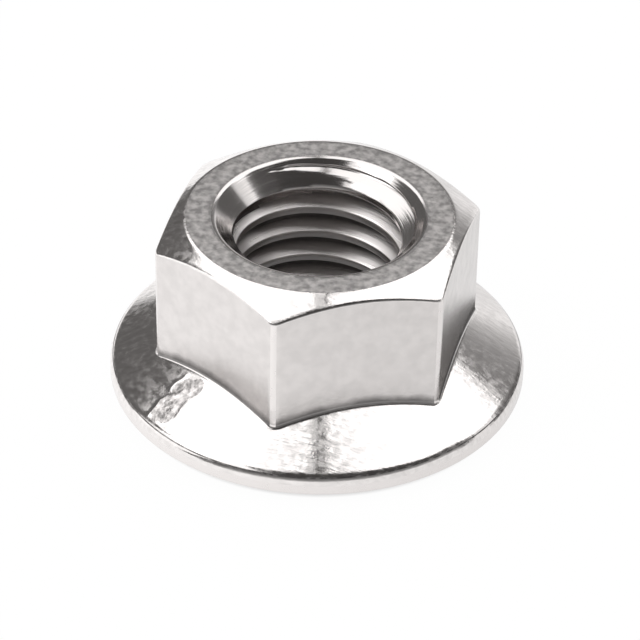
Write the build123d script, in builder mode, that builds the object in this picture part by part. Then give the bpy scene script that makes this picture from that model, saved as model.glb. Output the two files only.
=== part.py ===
from build123d import *
import os
from math import radians, sqrt, tan

# An M10 serrated flange nut: one solid, cold formed and tapped, in millimetres.
# The thread axis is Z, the bearing plane (the crests of the teeth) is z = 0 and
# the hexagon stands upwards. Flats face 0, 60, 120 ... degrees from +X.
# The bore is plain, at the thread's minor diameter.

# ---- driving dimensions -------------------------------------------------
NUT_HEIGHT = 10.0            # bearing plane to top face
ACROSS_FLATS = 15.0
CORNER_ROUND = 0.6           # radius down each vertical edge of the hexagon
TOP_FACE_INSET = 0.58        # from a flat in to where the top chamfer starts
TOP_CHAMFER_ANGLE = 30.0     # below horizontal

FLANGE_OVERHANG = 3.35       # flange beyond a flat of the hexagon
FLANGE_ANGLE = 30.0          # slope of the flange's upper cone, below horizontal
RIM_TOP_Z = 1.38             # height at which the cone would meet the rim
RIM_ROUND = 0.65             # rounding between cone and rim
RIM_BOTTOM_Z = 0.5           # where the rim turns under
UNDER_BEVEL = 0.65           # how far the rim turns in before it meets the bearing plane
HEX_FILLET = 0.25            # concave fillet between hexagon and flange cone

THREAD_MAJOR = 10.0
THREAD_PITCH = 1.5
COUNTERSINK_ALLOWANCE = 0.4  # countersink's rim outside the thread's major radius
COUNTERSINK_ANGLE = 90.0     # included

TOOTH_COUNT = 24
TOOTH_DEPTH_RIM = 0.46       # drop from crest to root at the rim
TOOTH_DEPTH_INNER = 0.1      # the same where a gullet runs out inside the recess
TOOTH_LAND = 2.2             # crest width, in degrees about the axis
TOOTH_LENGTH = 3.8           # from the rim in to where a gullet starts
TOOTH_ARC_ALLOWANCE = 0.4    # plan radius of a tooth's curved edge, beyond its length
RECESS_DEPTH = 0.22          # inner part of the underside, above the crests
RECESS_INSET = 2.8           # from the rim in to the edge of that recess

OVERSHOOT = 0.4              # how far a cutter runs past the metal it cuts

# ---- sizes that follow --------------------------------------------------
FLANGE_RADIUS = ACROSS_FLATS / 2 + FLANGE_OVERHANG
TOP_FACE_RADIUS = ACROSS_FLATS / 2 - TOP_FACE_INSET
BORE_RADIUS = (THREAD_MAJOR - THREAD_PITCH) / 2
COUNTERSINK_RADIUS = THREAD_MAJOR / 2 + COUNTERSINK_ALLOWANCE
TOOTH_ARC = TOOTH_LENGTH + TOOTH_ARC_ALLOWANCE


# ---- flange and hexagon -------------------------------------------------
def cone_z(radius):
    """Height of the flange's upper cone at a radius."""
    return RIM_TOP_Z + (FLANGE_RADIUS - radius) * tan(radians(FLANGE_ANGLE))


HIDDEN_RADIUS = ACROSS_FLATS / 2 - 1.0       # the cone ends here, inside the hexagon

with BuildPart() as flange:
    with BuildSketch(Plane.XZ) as flange_section:
        with BuildLine():
            Polyline(
                (0, 0),
                (FLANGE_RADIUS - UNDER_BEVEL, 0),
                (FLANGE_RADIUS, RIM_BOTTOM_Z),
                (FLANGE_RADIUS, RIM_TOP_Z),
                (HIDDEN_RADIUS, cone_z(HIDDEN_RADIUS)),
                (0, cone_z(HIDDEN_RADIUS)),
                close=True,
            )
        make_face()
        rim_corner = flange_section.vertices().sort_by_distance((FLANGE_RADIUS, RIM_TOP_Z))[0]
        fillet(rim_corner, RIM_ROUND)
    revolve(axis=Axis.Z)

with BuildPart() as hexagon:
    with BuildSketch(Plane.XY.offset(RIM_TOP_Z)) as hex_outline:
        RegularPolygon(radius=ACROSS_FLATS / 2, side_count=6, major_radius=False, rotation=30)
        fillet(hex_outline.vertices(), CORNER_ROUND)
    extrude(amount=NUT_HEIGHT - RIM_TOP_Z)
    # the top chamfer is turned, so it leaves an arc at the top of every flat
    chamfer_slope = tan(radians(TOP_CHAMFER_ANGLE))
    with BuildSketch(Plane.XZ):
        with BuildLine():
            Polyline(
                (TOP_FACE_RADIUS - OVERSHOOT, NUT_HEIGHT + OVERSHOOT * chamfer_slope),
                (FLANGE_RADIUS, NUT_HEIGHT - (FLANGE_RADIUS - TOP_FACE_RADIUS) * chamfer_slope),
                (FLANGE_RADIUS, NUT_HEIGHT + OVERSHOOT * chamfer_slope),
                close=True,
            )
        make_face()
    revolve(axis=Axis.Z, mode=Mode.SUBTRACT)


# ---- one gullet between two ratchet teeth -------------------------------
# A gullet drops steeply from one crest and ramps back down to the next one.
# The steep walls bite when the nut is turned loose (right-hand thread), and
# the ramps slide when it is tightened.
TOOTH_PITCH_ANGLE = 360 / TOOTH_COUNT


def tooth_edge(x):
    """Plan position of a crest's steep edge: radial at the rim, swept back inwards."""
    return Vector(x, sqrt(TOOTH_ARC**2 - (FLANGE_RADIUS - x) ** 2) - TOOTH_ARC)


def gullet_plane(x):
    """Upright plane through a steep edge and the next crest's ramp edge."""
    start = tooth_edge(x)
    end = start.rotate(Axis.Z, TOOTH_PITCH_ANGLE - TOOTH_LAND)
    along = end - start
    return Plane(origin=start, x_dir=along, z_dir=Vector(0, 0, 1).cross(along) * -1), along.length


with BuildPart() as gullet:
    steps = 5
    for step in range(steps):
        share = step / (steps - 1)
        x = FLANGE_RADIUS - TOOTH_LENGTH + share * (TOOTH_LENGTH + OVERSHOOT)
        depth = TOOTH_DEPTH_INNER + share * (TOOTH_DEPTH_RIM - TOOTH_DEPTH_INNER)
        plane, width = gullet_plane(x)
        with BuildSketch(plane):
            with BuildLine():
                Polyline(
                    (0, depth),
                    (width * 1.25, -depth * 0.25),
                    (width * 1.25, -OVERSHOOT),
                    (0, -OVERSHOOT),
                    close=True,
                )
            make_face()
    loft()


# ---- the nut ------------------------------------------------------------
COUNTERSINK_SLOPE = tan(radians(COUNTERSINK_ANGLE / 2))
COUNTERSINK_MOUTH = COUNTERSINK_RADIUS + OVERSHOOT * COUNTERSINK_SLOPE
COUNTERSINK_DEPTH = COUNTERSINK_RADIUS / COUNTERSINK_SLOPE   # to its point, on the axis

with BuildPart() as flange_nut:
    add(flange.part)
    add(hexagon.part)
    junction = new_edges(flange.part, hexagon.part, combined=flange_nut.part)
    fillet(junction, HEX_FILLET)
    # shallow recess inside the ring of teeth
    with BuildSketch(Plane.XY.offset(-OVERSHOOT)):
        Circle(FLANGE_RADIUS - RECESS_INSET)
    extrude(amount=OVERSHOOT + RECESS_DEPTH, mode=Mode.SUBTRACT)
    with PolarLocations(0, TOOTH_COUNT):
        add(gullet.part, mode=Mode.SUBTRACT)
    # bore and its two countersinks
    with BuildSketch(Plane.XY.offset(-OVERSHOOT)):
        Circle(BORE_RADIUS)
    extrude(amount=NUT_HEIGHT + 2 * OVERSHOOT, mode=Mode.SUBTRACT)
    with BuildSketch(Plane.XZ):
        with BuildLine():
            Polyline(
                (0, NUT_HEIGHT + OVERSHOOT),
                (COUNTERSINK_MOUTH, NUT_HEIGHT + OVERSHOOT),
                (0, NUT_HEIGHT - COUNTERSINK_DEPTH),
                close=True,
            )
        make_face()
        with BuildLine():
            Polyline(
                (0, RECESS_DEPTH - OVERSHOOT),
                (COUNTERSINK_MOUTH, RECESS_DEPTH - OVERSHOOT),
                (0, RECESS_DEPTH + COUNTERSINK_DEPTH),
                close=True,
            )
        make_face()
    revolve(axis=Axis.Z, mode=Mode.SUBTRACT)

flange_nut.part.label = "flange_nut"
os.makedirs("parts", exist_ok=True)
export_step(flange_nut.part, "parts/flange_nut.step")
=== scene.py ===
import math

import bmesh
import bpy
from mathutils import Matrix, Vector


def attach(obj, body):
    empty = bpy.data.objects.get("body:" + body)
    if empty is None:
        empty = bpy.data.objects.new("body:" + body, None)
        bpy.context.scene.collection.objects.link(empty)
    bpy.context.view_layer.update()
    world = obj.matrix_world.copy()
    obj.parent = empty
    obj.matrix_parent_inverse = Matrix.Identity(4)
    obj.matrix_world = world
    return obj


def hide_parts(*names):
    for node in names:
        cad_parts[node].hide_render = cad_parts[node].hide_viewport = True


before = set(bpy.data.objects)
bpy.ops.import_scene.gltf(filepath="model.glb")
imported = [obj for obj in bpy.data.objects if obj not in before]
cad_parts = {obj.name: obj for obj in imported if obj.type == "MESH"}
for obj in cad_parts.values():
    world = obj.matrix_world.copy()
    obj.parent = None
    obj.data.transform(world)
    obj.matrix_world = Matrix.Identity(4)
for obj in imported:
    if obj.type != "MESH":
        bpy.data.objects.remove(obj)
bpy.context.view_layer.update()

# ---- Nut: outline --------------------------------------------------------
# The nut is one piece of stainless steel. Hexagon, conical flange and toothed
# underside are forged in one blow, the top is turned off and chamfered, and
# the bore is countersunk and tapped M10 right through. Sizes are in mm.
MM = 0.001
NUT_HEIGHT = 10.0
HALF_FLATS = 7.5
CORNER_ROUND = 0.6
CORNER_TURN = math.radians(30)       # from the middle of a flat to a corner
SLOPE = math.radians(30)             # of the flange's cone and of the chamfer
TOP_FACE_RADIUS = 6.92
TOP_EDGE_EASE = 0.08
CHAMFER_EDGE_EASE = 0.14
FLANGE_RADIUS = 10.85
RIM_TOP = 1.38
RIM_ROUND = 0.65
RIM_BOTTOM = 0.5
UNDER_EASE = 0.074
BEARING_RADIUS = 10.2
HEX_FILLET = 0.25
COUNTERSINK_RADIUS = 5.4
MOUTH_EASE = 0.13
TOOTH_COUNT = 24
TOOTH_PITCH = 360 / TOOTH_COUNT      # in degrees, as is the gullets' width
GULLET_WIDTH = 12.8
TOOTH_ARC = 4.2
GULLET_START = 7.05
GULLET_END = 11.25
GULLET_DEPTHS = (0.1, 0.46)
RECESS_RADIUS = 8.05
RECESS_DEPTH = 0.22
FLAT_STATIONS = 30
CORNER_STATIONS = 12


def cone_height(radius):
    """Height of the flange's upper cone at a radius."""
    return RIM_TOP + (FLANGE_RADIUS - radius) * math.tan(SLOPE)


def off_flat(azimuth):
    """Degrees from the middle of the nearest flat."""
    return abs((azimuth + 30) % 60 - 30)


def wall_radius(azimuth):
    """Distance from the axis to the rounded hexagon."""
    off = math.radians(off_flat(azimuth))
    centre = (HALF_FLATS - CORNER_ROUND) / math.cos(CORNER_TURN)
    if HALF_FLATS * math.tan(off) < (HALF_FLATS - CORNER_ROUND) * math.tan(CORNER_TURN):
        return HALF_FLATS / math.cos(off)
    turn = CORNER_TURN - off
    return centre * math.cos(turn) + math.sqrt(CORNER_ROUND**2 - (centre * math.sin(turn)) ** 2)


def eased(before, corner, after, steps):
    """Points of the arc that rounds a corner of the section, both ends included."""
    to_before = (before - corner).normalized()
    to_after = (after - corner).normalized()
    weight = math.sin(to_before.angle(to_after) / 2)
    points = []
    for step in range(steps + 1):
        s = step / steps
        a, b, c = (1 - s) ** 2, 2 * weight * s * (1 - s), s * s
        points.append((before * a + corner * b + after * c) / (a + b + c))
    return points


def fillet_points(share):
    """The rolling-ball fillet between cone and hexagon, from a flat's middle to a corner.

    A share of 0 gives its line on the cone and 1 its line on the hexagon. Each
    point is its azimuth from the flat, its radius and its height.
    """
    across = (HALF_FLATS - CORNER_ROUND) * math.tan(CORNER_TURN)
    corner = Vector((HALF_FLATS - CORNER_ROUND, across))
    stations = [(Vector((HALF_FLATS + HEX_FILLET, across * i / FLAT_STATIONS)), Vector((1, 0)))
                for i in range(FLAT_STATIONS + 1)]
    for i in range(1, CORNER_STATIONS + 1):
        turn = CORNER_TURN * i / CORNER_STATIONS
        outward = Vector((math.cos(turn), math.sin(turn)))
        stations.append((corner + outward * (CORNER_ROUND + HEX_FILLET), outward))
    points = []
    for centre, outward in stations:
        height = cone_height(centre.length) + HEX_FILLET / math.cos(SLOPE)
        to_wall = Vector((-outward.x, -outward.y, 0))
        away = centre.normalized() * math.sin(SLOPE)
        to_cone = Vector((-away.x, -away.y, -math.cos(SLOPE)))
        spot = Vector((centre.x, centre.y, height)) + to_cone.slerp(to_wall, share) * HEX_FILLET
        points.append((math.degrees(math.atan2(spot.y, spot.x)), spot.xy.length, spot.z))
    return points


def along(points, azimuth):
    """Radius and height at an azimuth, between neighbouring fillet points."""
    off = off_flat(azimuth)
    for first, second in zip(points, points[1:]):
        if off <= second[0]:
            share = max(0.0, (off - first[0]) / (second[0] - first[0]))
            return tuple(a + (b - a) * share for a, b in zip(first[1:], second[1:]))
    return points[-1][1:]


def tooth_line(radius):
    """A tooth's curved edge at a radius: its x before it is turned, and its sweep in degrees."""
    low, high = GULLET_START - 1, FLANGE_RADIUS
    for _ in range(40):
        x = (low + high) / 2
        y = math.sqrt(TOOTH_ARC**2 - (FLANGE_RADIUS - x) ** 2) - TOOTH_ARC
        if math.hypot(x, y) < radius:
            low = x
        else:
            high = x
    return x, math.degrees(math.atan2(y, x))


def underside(radius, azimuth):
    """Height of the bearing side; the azimuth counts along the swept teeth."""
    base = max(0.0, (radius - BEARING_RADIUS) / (FLANGE_RADIUS - BEARING_RADIUS) * RIM_BOTTOM)
    within = azimuth % TOOTH_PITCH
    if within < 0.01 or within > GULLET_WIDTH:
        return base
    x, sweep = tooth_line(radius)
    share = (x - GULLET_START) / (GULLET_END - GULLET_START)
    depth = GULLET_DEPTHS[0] + share * (GULLET_DEPTHS[1] - GULLET_DEPTHS[0])
    return max(base, depth * (1 - within / GULLET_WIDTH))


# ---- Nut: thread ---------------------------------------------------------
# A right-hand M10 x 1.5 thread, cut by a tap after forging. Each turn is a
# 60 degree groove, nearly sharp at its root, and both its lips are crisp.
PITCH = 1.5
CREST_RADIUS = 4.25
ROOT_RADIUS = 5.17
ROOT_AT_ZERO = 0.2                   # height of a root at azimuth 0
TURNS = range(8, -3, -1)             # from above the top face to below the teeth
# one groove from top to bottom: height from its root, and radius
GROOVE = (
    (0.75, CREST_RADIUS + 0.004), (0.62, CREST_RADIUS), (0.58, 4.252), (0.555, 4.268),
    (0.52, 4.323), (0.42, 4.497), (0.31, 4.688), (0.21, 4.861), (0.15, 4.965), (0.1, 5.051),
    (0.05, 5.13), (0.0, ROOT_RADIUS), (-0.05, 5.13), (-0.1, 5.051), (-0.15, 4.965),
    (-0.21, 4.861), (-0.31, 4.688), (-0.42, 4.497), (-0.52, 4.323), (-0.552, 4.268),
    (-0.568, CREST_RADIUS),
)


def thread_column(azimuth):
    """Height and radius down the bore at an azimuth."""
    points = []
    for turn in TURNS:
        root = ROOT_AT_ZERO + PITCH * (azimuth / 360 + turn)
        points += [(root + rise, radius) for rise, radius in GROOVE]
    return points


def countersink(height):
    """Radius of the two 90 degree countersinks at a height."""
    return COUNTERSINK_RADIUS - min(NUT_HEIGHT - height, height - RECESS_DEPTH)


def bore_column(azimuth, top, bottom):
    """The thread with the countersinks cut into it; None beyond either mouth."""
    points = thread_column(azimuth)
    result = [(height, max(radius, countersink(height))) for height, radius in points]
    for i in range(len(points) - 1):
        (h0, r0), (h1, r1) = points[i], points[i + 1]
        gap0, gap1 = r0 - countersink(h0), r1 - countersink(h1)
        if gap0 * gap1 < 0 and max(h0, h1) > 0:
            share = gap0 / (gap0 - gap1)
            spot = (h0 + (h1 - h0) * share, r0 + (r1 - r0) * share)
            result[i if share < 0.5 else i + 1] = spot
    return [spot if bottom < spot[0] < top else None for spot in result]


# ---- Nut: forging fold ---------------------------------------------------
# Where the metal met itself in the die, a small wrinkle of steel lies pressed
# into the flange at the front left. Its lines run through points given as
# distance from the axis and azimuth; rises and half widths are in mm.
FOLD_AZIMUTH = 232.8
FOLD_REACH = 6.5                     # degrees to either side
# each crease: its points, its rise and its half width
CREASES = (
    (((8.91, 228.2), (8.59, 227.9), (8.18, 229.0)), 0.03, 0.12),
    (((10.44, 230.1), (9.99, 229.8), (9.6, 229.0), (9.31, 230.0), (8.93, 232.4),
      (8.67, 233.3)), 0.05, 0.12),
    (((10.28, 231.8), (10.14, 235.9), (9.85, 237.0), (9.43, 236.4), (9.1, 235.9)), -0.014, 0.13),
    (((9.1, 235.9), (8.66, 237.0), (8.4, 237.4), (8.13, 237.4)), -0.016, 0.14),
    (((9.62, 232.5), (9.31, 234.7)), 0.02, 0.1),
    (((9.86, 233.0), (9.8, 233.3)), -0.025, 0.13),
)
# the wrinkled metal: points and half width of each stroke of it
WRINKLED = (
    (((10.1, 232.2), (9.65, 231.9), (9.1, 232.9), (8.55, 234.2), (8.25, 235.6)), 0.46),
    (((10.0, 234.6), (9.6, 234.4)), 0.4),
    (((9.5, 234.2), (9.0, 235.0)), 0.32),
    (((8.75, 230.3), (8.35, 231.8)), 0.3),
)


def fold_point(radius, azimuth):
    """A point of the flange in plan, seen from the fold's own azimuth."""
    return Vector((radius, 0)) @ Matrix.Rotation(math.radians(FOLD_AZIMUTH - azimuth), 2)


def line_gap(spot, points):
    """Distance from a line through points of the flange, in mm."""
    ends = [fold_point(*point) for point in points]
    gaps = []
    for first, second in zip(ends, ends[1:]):
        way = second - first
        share = max(0.0, min(1.0, (spot - first).dot(way) / way.length_squared))
        gaps.append((spot - first.lerp(second, share)).length)
    return min(gaps)


def fold_rise(radius, azimuth):
    """How far the fold lifts or sinks the flange at a point."""
    if abs(azimuth - FOLD_AZIMUTH) > FOLD_REACH:
        return 0.0
    spot = fold_point(radius, azimuth)
    return sum(rise * math.exp(-((line_gap(spot, points) / half_width) ** 2))
               for points, rise, half_width in CREASES)


def in_fold(radius, azimuth):
    """Whether a point lies in the wrinkled metal between the creases."""
    if abs(azimuth - FOLD_AZIMUTH) > FOLD_REACH:
        return False
    spot = fold_point(radius, azimuth)
    return any(line_gap(spot, points) < half_width for points, half_width in WRINKLED)


# ---- Nut: mesh -----------------------------------------------------------
# The surface is laid out as rings round the axis, from the lower countersink
# out under the teeth, up over flange and hexagon and down the bore again, so
# every edge of the forging is an edge of the mesh.

# azimuths of its columns, in degrees
TOOTH_MARKS = (0, 0.12, 2.2, 4.3, 6.4, 8.5, 10.6, GULLET_WIDTH, 13.9)
CORNER_MARKS = (-3.5, -2.7, -2.02, -1.5, -1, -0.5, 0.5, 1, 1.5, 2.02, 2.7, 3.5)
FOLD_MARKS = 23                      # to either side of the fold's middle
CLOSEST_COLUMNS = 0.1
WIDEST_GAP = 2.2
FILLING_STEP = 2.0
# places and numbers of its rings
RECESS_RADII = (COUNTERSINK_RADIUS, 6.3, 7.2, 7.7, RECESS_RADIUS)
TOOTH_RADII = (8.2, 8.5, 8.85, 9.2, 9.55, 9.85, BEARING_RADIUS, 10.3, 10.45, 10.58, 10.68)
# the dark seam ring is a trim line whose darkness is partly painted shade
SEAM_STEP = 6                        # where the flange's bright skin was trimmed, on its rounding
CONE_STEPS = 36
FILLET_STEPS = 8
WALL_STEPS = 6
EDGE_STEPS = 4
CHAMFER_STEPS = 6
FACE_STEPS = 4
# where one finish ends and the next begins
BURNISHED_FROM = 28.9                # degrees off a flat, on a corner's rounding
SHARP_EDGE = math.radians(32)
MOUTH_GAP = 0.01                     # the bore's last rings keep this far from its mouths
COUNTERSINK_FIT = 0.002              # what lies this close to a countersink is part of it
BORE_WALL = 3                        # no countersink within this height of the bore's middle


def nut_azimuths():
    """Azimuths of the mesh's columns, close together where the form needs it."""
    marks = set()
    for tooth in range(TOOTH_COUNT):
        for step in TOOTH_MARKS:
            marks.add(round(tooth * TOOTH_PITCH + step, 3))
    for corner in range(6):
        for step in CORNER_MARKS:
            marks.add(round((30 + 60 * corner + step) % 360, 3))
    for step in range(-FOLD_MARKS, FOLD_MARKS + 1):
        marks.add(round(FOLD_AZIMUTH + step / FOLD_MARKS * FOLD_REACH, 3))
    kept = []
    for mark in sorted(marks):
        if kept and mark - kept[-1] < CLOSEST_COLUMNS:
            continue
        while kept and mark - kept[-1] > WIDEST_GAP:
            kept.append(kept[-1] + min(FILLING_STEP, (mark - kept[-1]) / 2))
        kept.append(mark)
    return kept


azimuths = nut_azimuths()
rings = []
ring_zones = []


def add_ring(zone, spot):
    """One ring; spot gives radius, azimuth and height for each column."""
    rings.append([spot(azimuth) for azimuth in azimuths])
    ring_zones.append(zone)


def add_round_ring(zone, point):
    """A ring through one point of the section."""
    add_ring(zone, lambda azimuth: (point[0], azimuth, point[1]))


recess_sweep = tooth_line(RECESS_RADIUS)[1]
for radius in RECESS_RADII:
    sweep = recess_sweep * (radius - COUNTERSINK_RADIUS) / (RECESS_RADIUS - COUNTERSINK_RADIUS)
    add_ring("pressed", lambda a, r=radius, s=sweep: (r, a + s, RECESS_DEPTH))
add_ring("pressed", lambda a: (RECESS_RADIUS, a + recess_sweep,
                               min(RECESS_DEPTH, underside(RECESS_RADIUS, a))))
for radius in TOOTH_RADII:
    sweep = tooth_line(radius)[1]
    add_ring("pressed", lambda a, r=radius, s=sweep: (r, a + s, underside(r, a)))

under_corner = Vector((FLANGE_RADIUS, RIM_BOTTOM))
bevel_way = Vector((BEARING_RADIUS - FLANGE_RADIUS, -RIM_BOTTOM)).normalized()
under_arc = eased(under_corner + bevel_way * UNDER_EASE, under_corner,
                  under_corner + Vector((0, UNDER_EASE)), 4)
for number, point in enumerate(under_arc):
    add_round_ring("rim" if number else "pressed", point)
rim_corner = Vector((FLANGE_RADIUS, RIM_TOP))
rim_ease = RIM_ROUND * math.tan((math.pi / 2 - SLOPE) / 2)
rim_arc = eased(rim_corner - Vector((0, rim_ease)), rim_corner,
                rim_corner + Vector((-math.cos(SLOPE), math.sin(SLOPE))) * rim_ease, 10)
for number, point in enumerate(rim_arc):
    add_round_ring("shaded_seam" if number == SEAM_STEP else "polished", point)

cone_foot = fillet_points(0.0)
for step in range(1, CONE_STEPS):
    def on_cone(azimuth, share=step / CONE_STEPS):
        radius = rim_arc[-1].x + (along(cone_foot, azimuth)[0] - rim_arc[-1].x) * share
        rise = fold_rise(radius, azimuth)
        return (radius + rise * math.sin(SLOPE), azimuth,
                cone_height(radius) + rise * math.cos(SLOPE))
    add_ring("polished", on_cone)
for step in range(FILLET_STEPS + 1):
    line = fillet_points(step / FILLET_STEPS)
    add_ring("polished" if step < FILLET_STEPS / 2 else "drawn",
             lambda a, p=line: (along(p, a)[0], a, along(p, a)[1]))

wall_foot = fillet_points(1.0)
chamfer_way = Vector((-math.cos(SLOPE), math.sin(SLOPE)))


def chamfer_edge(azimuth):
    """Where a flat meets the chamfer."""
    radius = wall_radius(azimuth)
    return Vector((radius, NUT_HEIGHT - (radius - TOP_FACE_RADIUS) * math.tan(SLOPE)))


for step in range(1, WALL_STEPS):
    def on_wall(azimuth, share=step / WALL_STEPS):
        foot = along(wall_foot, azimuth)[1]
        head = chamfer_edge(azimuth).y - CHAMFER_EDGE_EASE
        return wall_radius(azimuth), azimuth, foot + (head - foot) * share
    add_ring("drawn", on_wall)
for step in range(EDGE_STEPS + 1):
    def on_edge(azimuth, step=step):
        edge = chamfer_edge(azimuth)
        arc = eased(edge - Vector((0, CHAMFER_EDGE_EASE)), edge,
                    edge + chamfer_way * CHAMFER_EDGE_EASE, EDGE_STEPS)
        return arc[step].x, azimuth, arc[step].y
    add_ring("polished" if step else "drawn", on_edge)
top_corner = Vector((TOP_FACE_RADIUS, NUT_HEIGHT))
top_arc = eased(top_corner - chamfer_way * TOP_EDGE_EASE, top_corner,
                top_corner - Vector((TOP_EDGE_EASE, 0)), 3)
for step in range(1, CHAMFER_STEPS):
    def on_chamfer(azimuth, share=step / CHAMFER_STEPS):
        start = chamfer_edge(azimuth) + chamfer_way * CHAMFER_EDGE_EASE
        spot = start.lerp(top_arc[0], share)
        return spot.x, azimuth, spot.y
    add_ring("polished", on_chamfer)
for point in top_arc:
    add_round_ring("turned" if point is top_arc[-1] else "polished", point)

mouth = Vector((COUNTERSINK_RADIUS, NUT_HEIGHT))
down_countersink = Vector((-0.7071, -0.7071))
mouth_arc = eased(mouth + Vector((MOUTH_EASE, 0)), mouth, mouth + down_countersink * MOUTH_EASE, 5)
for step in range(1, FACE_STEPS):
    add_round_ring("turned", top_arc[-1].lerp(mouth_arc[0], step / FACE_STEPS))
for point in mouth_arc:
    add_round_ring("countersunk", point)

nut_mesh = bmesh.new()


def nut_vertex(radius, azimuth, height):
    """A corner of the mesh, in metres."""
    turn = math.radians(azimuth)
    return nut_mesh.verts.new((radius * math.cos(turn) * MM, radius * math.sin(turn) * MM,
                               height * MM))


zones = ("pressed", "rim", "polished", "folded", "drawn", "burnished", "turned", "countersunk",
         "cut", "shaded_seam")
shell = [[nut_vertex(*spot) for spot in ring] for ring in rings]
bore = []
for column, azimuth in enumerate(azimuths):
    above = True
    verts = []
    for spot in bore_column(azimuth, mouth_arc[-1].y - MOUTH_GAP, RECESS_DEPTH + MOUTH_GAP):
        if spot is None:
            verts.append(shell[-1 if above else 0][column])
        else:
            above = False
            verts.append(nut_vertex(spot[1], azimuth, spot[0]))
    bore.append(verts)


def skin(corners, zone):
    """One face, with repeated corners dropped."""
    kept = []
    for vert in corners:
        if vert not in kept:
            kept.append(vert)
    if len(kept) > 2:
        face = nut_mesh.faces.new(kept)
        face.material_index = zones.index(zone)
        face.smooth = True


def shell_zone(zone, vert, azimuth):
    """A ring's zone, or the one that a corner's rounding or the fold puts in its place."""
    if zone == "drawn" and off_flat(azimuth + 0.3) > BURNISHED_FROM:
        return "burnished"
    on_flange = vert.co.z / MM < cone_height(HALF_FLATS)
    if zone == "polished" and on_flange and in_fold(vert.co.xy.length / MM, azimuth):
        return "folded"
    return zone


for i in range(len(shell) - 1):
    for j, azimuth in enumerate(azimuths):
        k = (j + 1) % len(azimuths)
        skin((shell[i][j], shell[i][k], shell[i + 1][k], shell[i + 1][j]),
             shell_zone(ring_zones[i], shell[i][j], azimuth))


def bore_skin(corners):
    """A face of the bore: countersunk where it lies on a countersink, else cut by the tap."""
    for vert in corners:
        radius, height = vert.co.xy.length / MM, vert.co.z / MM
        if (radius <= countersink(height) - COUNTERSINK_FIT
                or abs(height - NUT_HEIGHT / 2) <= BORE_WALL):
            skin(corners, "cut")
            return
    skin(corners, "countersunk")


# after a full turn the thread's rings join those one turn further down
last = len(bore[0]) - 1
for near, far in zip(bore, bore[1:]):
    for i in range(last):
        bore_skin((near[i], far[i], far[i + 1], near[i + 1]))
for i in range(last + len(GROOVE)):
    near, near_next = (min(n, last) for n in (i, i + 1))
    far, far_next = (max(n - len(GROOVE), 0) for n in (i, i + 1))
    bore_skin((bore[-1][near], bore[0][far], bore[0][far_next], bore[-1][near_next]))
for edge in nut_mesh.edges:
    edge.smooth = edge.calc_face_angle(0) < SHARP_EDGE

nut_data = bpy.data.meshes.new("flange_nut_steel")
nut_mesh.to_mesh(nut_data)
nut_mesh.free()
nut = bpy.data.objects.new("nut_steel", nut_data)
bpy.context.scene.collection.objects.link(nut)
shading = nut.modifiers.new("even_shading", "WEIGHTED_NORMAL")
shading.keep_sharp = True


# ---- Nut: steel ----------------------------------------------------------
# Bare austenitic steel all over; what differs is how each surface was made, though some colours
# also hold painted shade and painted highlight.
# Pressed cones are bright, drawn flats satin, the turned top dull, and the
# bore keeps the fine marks of the tap.
IN_PLAN = (1, 1, 0)


def feed(tree, socket, value):
    """Gives a node's input a value, or another node's output."""
    if isinstance(value, bpy.types.NodeSocket):
        tree.links.new(value, socket)
    else:
        socket.default_value = value


def maths(tree, operation, *values, clamp=False):
    """The result of a Math node."""
    made = tree.nodes.new("ShaderNodeMath")
    made.operation = operation
    made.use_clamp = clamp
    for socket, value in zip(made.inputs, values):
        feed(tree, socket, value)
    return made.outputs["Value"]


def vector_maths(tree, operation, *values):
    """The result of a Vector Math node, which is a number for some operations."""
    made = tree.nodes.new("ShaderNodeVectorMath")
    made.operation = operation
    for socket, value in zip([s for s in made.inputs if s.enabled], values):
        feed(tree, socket, value)
    return next(s for s in made.outputs if s.enabled)


def height_of(tree, place):
    """The height of a place, or of a direction."""
    split = tree.nodes.new("ShaderNodeSeparateXYZ")
    feed(tree, split.inputs[0], place)
    return split.outputs["Z"]


def mapped(tree, value, from_low, from_high, to_low=0.0, to_high=1.0):
    """A value carried from one range to another, and held inside it."""
    made = tree.nodes.new("ShaderNodeMapRange")
    for label, setting in (("Value", value), ("From Min", from_low), ("From Max", from_high),
                           ("To Min", to_low), ("To Max", to_high)):
        feed(tree, made.inputs[label], setting)
    return made.outputs["Result"]


def mixed(tree, share, low, high, blend="MIX"):
    """Two numbers or two colours, mixed by a share."""
    made = tree.nodes.new("ShaderNodeMix")
    if not isinstance(low, float):
        made.data_type = "RGBA"
        made.blend_type = blend
    for label, value in (("Factor", share), ("A", low), ("B", high)):
        feed(tree, made.inputs[label], value + (1,) if isinstance(value, tuple) else value)
    return made.outputs["Result"]


def ramped(tree, value, stops):
    """A colour read off a ramp, whose stops are each a position and a colour."""
    made = tree.nodes.new("ShaderNodeValToRGB")
    elements = made.color_ramp.elements
    for element, (position, colour) in ((elements[0], stops[0]), (elements[1], stops[-1])):
        element.position = position
        element.color = colour + (1,)
    for position, colour in stops[1:-1]:
        elements.new(position).color = colour + (1,)
    feed(tree, made.inputs["Fac"], value)
    return made.outputs["Color"]


def noise(tree, place, scale, detail):
    """Even noise, about 0.5; the scale is in spots per metre."""
    made = tree.nodes.new("ShaderNodeTexNoise")
    for label, value in (("Vector", place), ("Scale", scale), ("Detail", detail)):
        feed(tree, made.inputs[label], value)
    return made.outputs["Fac"]


def group(name, numbers, output):
    """A node group: its tree, what it is given (a place and the numbers), and what it gives."""
    tree = bpy.data.node_groups.new(name, "ShaderNodeTree")
    tree.interface.new_socket("Place", in_out="INPUT", socket_type="NodeSocketVector")
    for label, default in numbers:
        tree.interface.new_socket(label, in_out="INPUT",
                                  socket_type="NodeSocketFloat").default_value = default
    tree.interface.new_socket(output, in_out="OUTPUT", socket_type="NodeSocketFloat")
    return (tree, tree.nodes.new("NodeGroupInput").outputs,
            tree.nodes.new("NodeGroupOutput").inputs[output])


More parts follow.
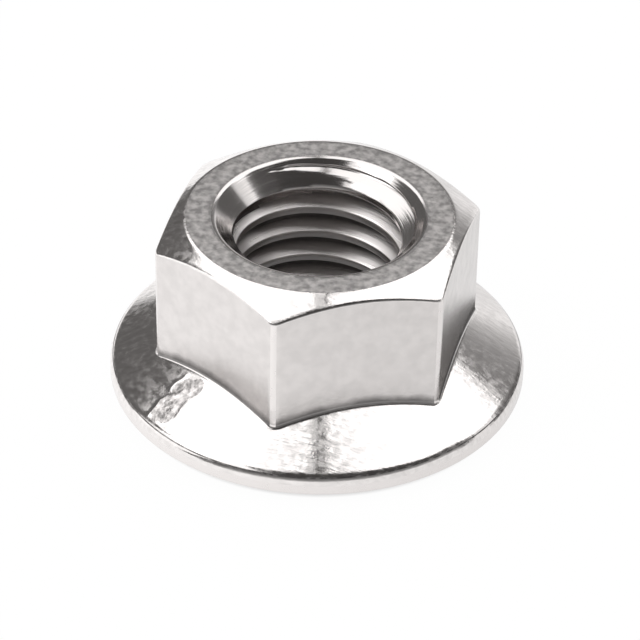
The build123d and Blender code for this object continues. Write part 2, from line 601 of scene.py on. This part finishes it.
# distance from the nut's axis
from_axis, given, result = group("from_axis", (), "Distance")
in_plan = vector_maths(from_axis, "MULTIPLY", given["Place"], IN_PLAN)
feed(from_axis, result, vector_maths(from_axis, "LENGTH", in_plan))

# fine lines left by a tool that ran round the axis
round_marks, given, result = group("round_marks", (("Along", 300), ("Across", 9000)), "Height")
in_plan = vector_maths(round_marks, "MULTIPLY", given["Place"], IN_PLAN)
out_and_up = maths(round_marks, "ADD", vector_maths(round_marks, "LENGTH", in_plan),
                   height_of(round_marks, given["Place"]))
upright = round_marks.nodes.new("ShaderNodeCombineXYZ")
feed(round_marks, upright.inputs["Z"], maths(round_marks, "MULTIPLY", out_and_up, given["Across"]))
drawn_out = vector_maths(round_marks, "ADD",
                         vector_maths(round_marks, "SCALE", in_plan, given["Along"]),
                         upright.outputs[0])
feed(round_marks, result, noise(round_marks, drawn_out, 1, 2))

# upright lines left by the die on the flats
die_lines, given, result = group("die_lines", (), "Height")
stretched = vector_maths(die_lines, "MULTIPLY", given["Place"], (1, 1, 0.12))
feed(die_lines, result, noise(die_lines, stretched, 5500, 3))

# shallow dents and scuffs all over a pressed surface
dimples, given, result = group("dimples", (("Fine", 0.35), ("Size", 2200)), "Height")
feed(dimples, result, maths(dimples, "MULTIPLY_ADD", noise(dimples, given["Place"], 8000, 2),
                            given["Fine"], noise(dimples, given["Place"], given["Size"], 2)))

# fine parallel scratches, slanting across the nut
scratches, given, result = group("scratches", (), "Height")
slanted = scratches.nodes.new("ShaderNodeMapping")
for label, value in (("Vector", given["Place"]), ("Rotation", (0, 0, math.radians(-60))),
                     ("Scale", (700, 5200, 2600))):
    feed(scratches, slanted.inputs[label], value)
feed(scratches, result, noise(scratches, slanted.outputs[0], 1, 2))

# cloudy patches, 0 to 1
clouds, given, result = group("clouds", (("Size", 900), ("Low", 0.4), ("High", 0.6)), "Mask")
feed(clouds, result, mapped(clouds, noise(clouds, given["Place"], given["Size"], 4),
                            given["Low"], given["High"]))


def place_on(material):
    """The object coordinates of a material."""
    nodes = material.node_tree.nodes
    where = nodes.get("Texture Coordinate") or nodes.new("ShaderNodeTexCoord")
    return where.outputs["Object"]


def effect(material, tree, **numbers):
    """Puts a node group into a material, with its numbers set."""
    holder = material.node_tree.nodes.new("ShaderNodeGroup")
    holder.node_tree = tree
    feed(material.node_tree, holder.inputs["Place"], place_on(material))
    for label, value in numbers.items():
        holder.inputs[label].default_value = value
    return holder.outputs[0]


def blended(material, mask, low, high, socket):
    """Mixes two numbers or two colours by a mask into a socket of the shader."""
    tree = material.node_tree
    feed(tree, tree.nodes["Principled BSDF"].inputs[socket], mixed(tree, mask, low, high))


def bumped(material, heights):
    """Chains bumps, each a height, a strength and a depth in micrometres."""
    tree = material.node_tree
    normal = None
    for height, strength, depth in heights:
        bump = tree.nodes.new("ShaderNodeBump")
        feed(tree, bump.inputs["Height"], height)
        bump.inputs["Strength"].default_value = strength
        bump.inputs["Distance"].default_value = depth * 1e-6
        if normal:
            feed(tree, bump.inputs["Normal"], normal)
        normal = bump.outputs["Normal"]
    feed(tree, tree.nodes["Principled BSDF"].inputs["Normal"], normal)


def steel(name, colour, roughness):
    """A steel for the nut's next zone."""
    material = bpy.data.materials.new(name)
    material.use_nodes = True
    shader = material.node_tree.nodes["Principled BSDF"]
    shader.inputs["Metallic"].default_value = 1.0
    shader.inputs["Base Color"].default_value = colour + (1,)
    shader.inputs["Roughness"].default_value = roughness
    nut_data.materials.append(material)
    return material


pressed = steel("pressed_steel", (0.721, 0.69, 0.678), 0.35)
blended(pressed, effect(pressed, clouds, Size=1200), 0.28, 0.42, "Roughness")
bumped(pressed, ((effect(pressed, dimples), 0.5, 10),))

rim = steel("rim_steel", (0.852, 0.815, 0.801), 0.22)
blended(rim, effect(rim, clouds, Size=1500), 0.16, 0.28, "Roughness")
bumped(rim, ((effect(rim, round_marks, Along=200, Across=7000), 0.25, 6),))

polished = steel("polished_steel", (0.799, 0.765, 0.752), 0.14)
blended(polished, effect(polished, scratches),
        (0.695, 0.665, 0.654), (1.0, 0.965, 0.949), "Base Color")
blended(polished, effect(polished, clouds, Size=2600, Low=0.4, High=0.62), 0.1, 0.22, "Roughness")
bumped(polished, ((effect(polished, scratches), 0.6, 9),
                  (effect(polished, dimples, Fine=0.9, Size=4600), 0.3, 6)))

folded = steel("folded_steel", (0.617, 0.59, 0.58), 0.3)
blended(folded, effect(folded, clouds, Size=3500, Low=0.4, High=0.6),
        (0.408, 0.39, 0.383), (0.731, 0.7, 0.688), "Base Color")
bumped(folded, ((effect(folded, dimples, Fine=0.6), 0.8, 35),))

# the flats are slightly cloudy, and painted shade darkens them along their foot, up to half
# a millimetre above the cone, standing for the fillet's dark reflection
drawn = steel("drawn_steel", (0.763, 0.73, 0.718), 0.24)
tree = drawn.node_tree
cone_top = cone_height(0)
above_cone = maths(tree, "MULTIPLY_ADD", effect(drawn, from_axis), math.tan(SLOPE),
                   height_of(tree, place_on(drawn)))
# height above the cone for the painted shade at the flats' foot, broken up by clouds
foot_shade_height = maths(tree, "MULTIPLY_ADD", effect(drawn, clouds, Size=700, Low=0.4, High=0.6),
                    -0.15 * MM, above_cone)
free_of_foot_shade = mapped(tree, foot_shade_height, (cone_top + 0.05) * MM, (cone_top + 0.5) * MM, 0.1)
satin = mapped(tree, effect(drawn, clouds, Size=1300, Low=0.35, High=0.65), 0.0, 1.0, 0.89)
# painted shade at the foot, mixed with the cloudy satin tone
blended(drawn, maths(tree, "MULTIPLY", satin, free_of_foot_shade),
        (0.178, 0.17, 0.167), (0.799, 0.765, 0.752), "Base Color")
bumped(drawn, ((effect(drawn, die_lines), 0.4, 6), (effect(drawn, dimples, Fine=0.8), 0.4, 10)))

burnished = steel("burnished_steel", (0.867, 0.83, 0.816), 0.2)
blended(burnished, effect(burnished, clouds, Size=1800), 0.16, 0.3, "Roughness")
bumped(burnished, ((effect(burnished, dimples), 0.4, 10),))

# the top face is blotched, and darker in broken lines along both its edges
turned = steel("turned_steel", (0.507, 0.485, 0.477), 0.42)
tree = turned.node_tree
outer_edge = mapped(tree, effect(turned, from_axis),
                    (TOP_FACE_RADIUS - 0.2) * MM, (TOP_FACE_RADIUS - 0.06) * MM)
inner_edge = mapped(tree, effect(turned, from_axis),
                    (COUNTERSINK_RADIUS + 0.3) * MM, (COUNTERSINK_RADIUS + 0.16) * MM)
darker_edges = maths(tree, "MULTIPLY", maths(tree, "MAXIMUM", outer_edge, inner_edge),
             effect(turned, clouds, Size=3200, Low=0.42, High=0.56))
bright = maths(tree, "SUBTRACT", effect(turned, clouds, Size=2400, Low=0.36, High=0.64), darker_edges,
               clamp=True)
blended(turned, bright, (0.308, 0.295, 0.29), (0.611, 0.585, 0.575), "Base Color")
bumped(turned, ((effect(turned, round_marks, Along=350, Across=5500), 0.9, 10),
                (effect(turned, dimples, Fine=1.8), 0.5, 9)))

countersunk = steel("countersunk_steel", (0.716, 0.685, 0.673), 0.16)
blended(countersunk, effect(countersunk, round_marks, Along=120, Across=7000),
        0.08, 0.2, "Roughness")
bumped(countersunk, ((effect(countersunk, round_marks, Along=150, Across=8000), 0.7, 8),))

# the cut metal's colour holds a painted highlight just behind a crest and painted shade that
# darkens it to the root
cut = steel("cut_steel", (0.731, 0.7, 0.688), 0.24)
tree = cut.node_tree
shader = tree.nodes["Principled BSDF"]
shader.inputs["Anisotropic"].default_value = 0.6
shader.inputs["Anisotropic Rotation"].default_value = 0.25
round_axis = tree.nodes.new("ShaderNodeTangent")
round_axis.direction_type = "RADIAL"
round_axis.axis = "Z"
feed(tree, shader.inputs["Tangent"], round_axis.outputs[0])
blended(cut, effect(cut, round_marks, Along=200, Across=14000), 0.2, 0.42, "Roughness")
# painted highlight behind the crest and painted shade towards the root, by depth into the groove
depth = mapped(tree, effect(cut, from_axis), CREST_RADIUS * MM, ROOT_RADIUS * MM)
feed(tree, shader.inputs["Base Color"], ramped(tree, depth, (
    (0.0, (0.601, 0.575, 0.565)), (0.012, (0.601, 0.575, 0.565)), (0.04, (0.92, 0.88, 0.865)),
    (0.35, (0.836, 0.8, 0.786)), (0.8, (0.329, 0.315, 0.31)))))
bumped(cut, ((effect(cut, round_marks, Along=260, Across=15000), 1.0, 12),))

# a dark line where the flange's skin was trimmed; its darkness is painted shade of the trimmed
# burr as well
shaded_seam = steel("shaded_seam_steel", (0.293, 0.28, 0.275), 0.45)
blended(shaded_seam, effect(shaded_seam, clouds, Size=2200, Low=0.42, High=0.66),
        (0.155, 0.148, 0.145), (0.502, 0.48, 0.472), "Base Color")
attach(nut, "root")
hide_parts("flange_nut")

# ---- Floor ---------------------------------------------------------------
# A seamless white table top under the nut, wide enough to fill every view.
# It glows white to the camera except in the nut's shadow close under the rim, and to the metal it
# shows painted light and shade.
CAMERA_AZIMUTH = -75.494
TABLE_REACH = 3.0


def level_way(turn):
    """A level direction, turned in degrees from the camera's side to its right."""
    turn = math.radians(CAMERA_AZIMUTH + turn)
    return Vector((math.cos(turn), math.sin(turn), 0))


def mixed_shaders(tree, share, first, second):
    """Two shaders mixed by a share, of which 1 is all of the second."""
    made = tree.nodes.new("ShaderNodeMixShader")
    for socket, value in zip(made.inputs, (share, first, second)):
        feed(tree, socket, value)
    return made.outputs[0]


toward = level_way(0)
rightward = level_way(90)
floor_data = bpy.data.meshes.new("white_table")
floor_data.from_pydata([(-TABLE_REACH, -TABLE_REACH, 0), (TABLE_REACH, -TABLE_REACH, 0),
                        (TABLE_REACH, TABLE_REACH, 0), (-TABLE_REACH, TABLE_REACH, 0)],
                       [], [(0, 1, 2, 3)])
floor = bpy.data.objects.new("white_table", floor_data)
bpy.context.scene.collection.objects.link(floor)
white = bpy.data.materials.new("white_table")
white.use_nodes = True
floor_data.materials.append(white)
tree = white.node_tree
tree.nodes.remove(tree.nodes["Principled BSDF"])
place = place_on(white)
from_middle = vector_maths(tree, "LENGTH", place)
ray = tree.nodes.new("ShaderNodeLightPath").outputs
paper = tree.nodes.new("ShaderNodeBsdfDiffuse")
paper.inputs["Color"].default_value = (0.9, 0.9, 0.9, 1)
glow = tree.nodes.new("ShaderNodeEmission")
# to the camera the table glows white right up to the shadow under the rim
white_share = maths(tree, "MULTIPLY", ray["Is Camera Ray"],
                    mapped(tree, from_middle, 9.9 * MM, 10.5 * MM, 0.0, 0.975))
to_camera = mixed_shaders(tree, white_share, paper.outputs[0], glow.outputs[0])
# the metal sees the table with painted light and shade: lighter on the left and with a painted
# shadow close under the nut;
# where it sees it twice over the table is dim, and a painted shade is darkest behind on the right
left_tone = mapped(tree, vector_maths(tree, "DOT_PRODUCT", place, -rightward),
                   -8 * MM, 10 * MM, 0.86, 1.06)
under_tone = mapped(tree, from_middle, 4 * MM, 11.5 * MM, 0.2)
second_tone = mapped(tree, ray["Glossy Depth"], 2, 1, 0.55)
behind_tone = mapped(tree, vector_maths(tree, "DOT_PRODUCT", place, level_way(125)),
                     9 * MM, 15 * MM, 1.0, mapped(tree, ray["Glossy Depth"], 2, 1, 0.25))
table_tone = left_tone
for tone in (under_tone, second_tone, behind_tone):
    table_tone = maths(tree, "MULTIPLY", table_tone, tone)
seen_in_metal = tree.nodes.new("ShaderNodeEmission")
feed(tree, seen_in_metal.inputs["Strength"], table_tone)
by_metal = maths(tree, "MAXIMUM", ray["Is Glossy Ray"], ray["Is Transmission Ray"])
feed(tree, tree.nodes["Material Output"].inputs["Surface"],
     mixed_shaders(tree, by_metal, to_camera, seen_in_metal.outputs[0]))

# ---- Light ---------------------------------------------------------------
# Soft studio light in a room that is light round the horizon and dark above.
# Three overhead banks leave a gap along the camera's line, two softboxes hang
# at their ends, and two panels stand at the sides.
BANK_HEIGHT = 0.6
BANK_LEVEL = 1.35
BANK_BACK = -1.3                     # in shares of that height, as are the banks' other places


def area_light(name, middle, size, level, faces_nut=False):
    """A rectangle of light; its middle is given toward the camera, to the right, and up."""
    place = toward * middle[0] + rightward * middle[1] + Vector((0, 0, middle[2]))
    lamp = bpy.data.lights.new(name, "AREA")
    lamp.shape = "RECTANGLE"
    lamp.size, lamp.size_y = size
    lamp.energy = level * math.pi * size[0] * size[1]
    holder = bpy.data.objects.new(name, lamp)
    bpy.context.scene.collection.objects.link(holder)
    back = place.normalized() if faces_nut else Vector((0, 0, 1))
    up = back.cross(rightward).normalized()
    turned_to = Matrix((up.cross(back), up, back)).transposed()
    holder.matrix_world = Matrix.Translation(place) @ turned_to.to_4x4()


for name, inner, outer, front in (("overhead_left", -0.01, -0.98, 0.2),
                                  ("overhead_right", 0.06, 0.8, 0.2),
                                  ("overhead_far_right", 0.8, 1.2, -0.12)):
    area_light(name, Vector(((front + BANK_BACK) / 2, (inner + outer) / 2, 1)) * BANK_HEIGHT,
               Vector((abs(outer - inner), front - BANK_BACK)) * BANK_HEIGHT, BANK_LEVEL)
area_light("left_softbox", Vector((0.18, -0.95, 1)) * BANK_HEIGHT,
           Vector((0.9, 0.5)) * BANK_HEIGHT, BANK_LEVEL)
area_light("right_softbox", Vector((-0.3, 1.2, 1)) * BANK_HEIGHT,
           Vector((0.5, 0.4)) * BANK_HEIGHT, 0.6)
area_light("left_panel", (0.165, -0.777, 0.4225), (1.4, 0.6), 1.15, faces_nut=True)
area_light("right_panel", (-0.12, 0.85, 0.3), (0.8, 0.26), 0.8, faces_nut=True)

world = bpy.data.worlds.new("studio")
bpy.context.scene.world = world
world.use_nodes = True
tree = world.node_tree
way = tree.nodes.new("ShaderNodeTexCoord").outputs["Generated"]
ray = tree.nodes.new("ShaderNodeLightPath").outputs
# the walls, by the height looked at
walls = ramped(tree, height_of(tree, way), [
    (height, (light, light, light)) for height, light in
    ((0.0, 0.95), (0.08, 0.85), (0.15, 0.55), (0.23, 0.3), (0.32, 0.2), (0.5, 0.1), (0.64, 0.0))])
# they are dark at the back left and in a patch on the right, and dim where the
# metal sees them twice over
left_share = mapped(tree, vector_maths(tree, "DOT_PRODUCT", way, toward * 0.5 + rightward),
                    -0.7, 0.0)
patch_share = mapped(tree, vector_maths(tree, "DOT_PRODUCT", way, level_way(110)), 0.88, 0.8)
second_share = mapped(tree, ray["Glossy Depth"], 2, 1, 0.35)
wall_share = maths(tree, "MULTIPLY", maths(tree, "MULTIPLY", left_share, patch_share),
                   second_share)
# a faint light is left everywhere, fainter on the camera's side
faint = mixed(tree, mapped(tree, vector_maths(tree, "DOT_PRODUCT", way, toward), -0.3, 0.4),
              (0.125, 0.122, 0.12), (0.05, 0.048, 0.047))
room = tree.nodes["Background"]
feed(tree, room.inputs["Color"],
     mixed(tree, 1.0, mixed(tree, wall_share, (0.0, 0.0, 0.0), walls), faint, blend="ADD"))
backdrop = tree.nodes.new("ShaderNodeBackground")
backdrop.inputs["Color"].default_value = (1, 1, 1, 1)
fill = tree.nodes.new("ShaderNodeBackground")
fill.inputs["Color"].default_value = (0.5, 0.5, 0.5, 1)
around = mixed_shaders(tree, ray["Is Glossy Ray"], fill.outputs[0], room.outputs[0])
feed(tree, tree.nodes["World Output"].inputs["Surface"],
     mixed_shaders(tree, ray["Is Camera Ray"], around, backdrop.outputs[0]))

# ---- Camera --------------------------------------------------------------
# A long lens on a tripod, looking down at the nut from the front right. It is
# aimed a little beside the nut's middle and isn't quite level.
CAMERA_ELEVATION = math.radians(36.018)
CAMERA_TILT = math.radians(1.08)
CAMERA_DISTANCE = 163.465 * MM
AIM_RIGHT = 0.119 * MM
AIM_HEIGHT = 3.372 * MM
camera_data = bpy.data.cameras.new("camera")
camera_data.lens = 176.41
camera_data.sensor_width = 36.0
camera_data.clip_start = 0.01
camera = bpy.data.objects.new("camera", camera_data)
bpy.context.scene.collection.objects.link(camera)
bpy.context.scene.camera = camera
back = toward * math.cos(CAMERA_ELEVATION) + Vector((0, 0, math.sin(CAMERA_ELEVATION)))
up = back.cross(rightward)
aim = rightward * AIM_RIGHT + Vector((0, 0, AIM_HEIGHT))
tilted_right = rightward * math.cos(CAMERA_TILT) + up * math.sin(CAMERA_TILT)
tilted_up = up * math.cos(CAMERA_TILT) - rightward * math.sin(CAMERA_TILT)
camera_turn = Matrix((tilted_right, tilted_up, back)).transposed()
camera.matrix_world = Matrix.Translation(aim + back * CAMERA_DISTANCE) @ camera_turn.to_4x4()

bpy.context.scene.view_settings.view_transform = "Standard"
